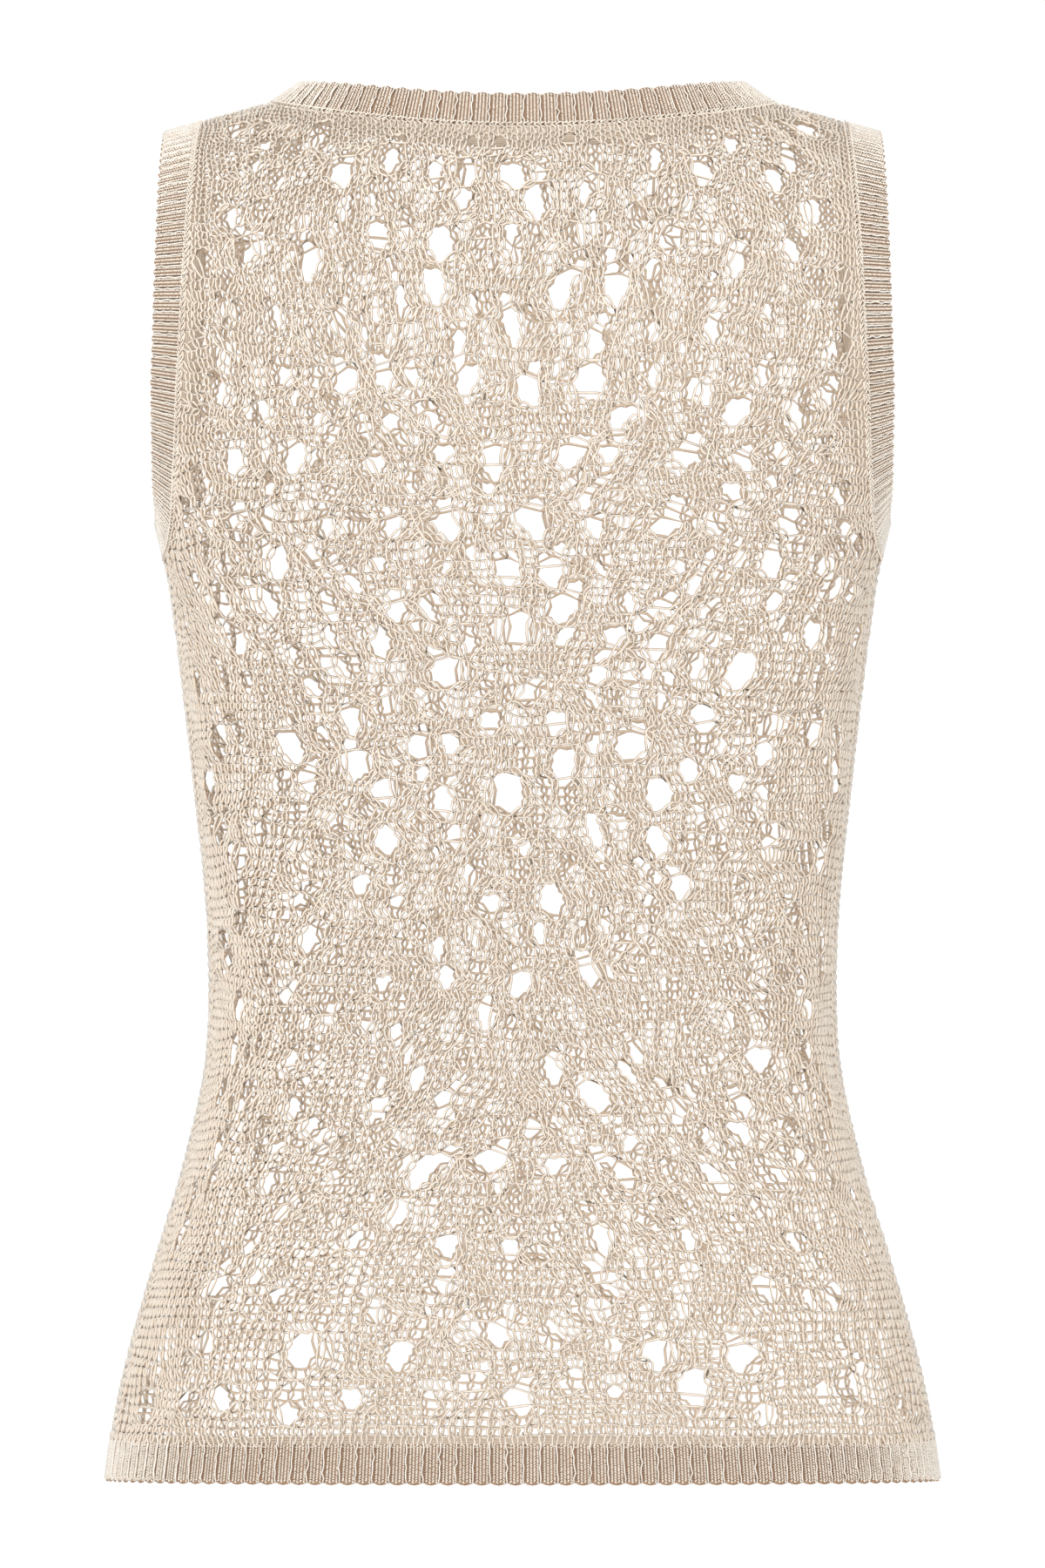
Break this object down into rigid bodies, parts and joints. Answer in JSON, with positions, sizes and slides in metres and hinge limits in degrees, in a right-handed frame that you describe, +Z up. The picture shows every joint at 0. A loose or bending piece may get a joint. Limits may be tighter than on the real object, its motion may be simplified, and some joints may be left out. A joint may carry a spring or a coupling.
{
  "type": "openwork knit sleeveless top",
  "caption": "Sleeveless openwork knitted top, filled out as worn, with a wide round neck and ribbed neck, armhole and hem bands.",
  "frame": {"origin": "middle of the shoulder line, at the height of the neck ends of the shoulder seams, where a wearer's shoulders carry the top", "axes": "+Z up, along the garment's length; the back faces -Y, so a viewer at -Y sees the back, and the wearer's front is +Y; +X is the wearer's right when seen from behind, that is the side of armband_right"},
  "size_m": [0.362, 0.2316, 0.6041],
  "materials": {
    "openwork_knit": "loose lace knit in a shiny beige viscose-like yarn",
    "rib_knit": "ribbed knit in the same shiny beige yarn"
  },
  "bodies": {
    "root": {"back_panel": "openwork_knit", "front_panel": "openwork_knit", "neckband": "rib_knit", "armband_left": "rib_knit", "armband_right": "rib_knit", "hem_band_back": "rib_knit", "hem_band_front": "rib_knit"}
  },
  "joints": []
}
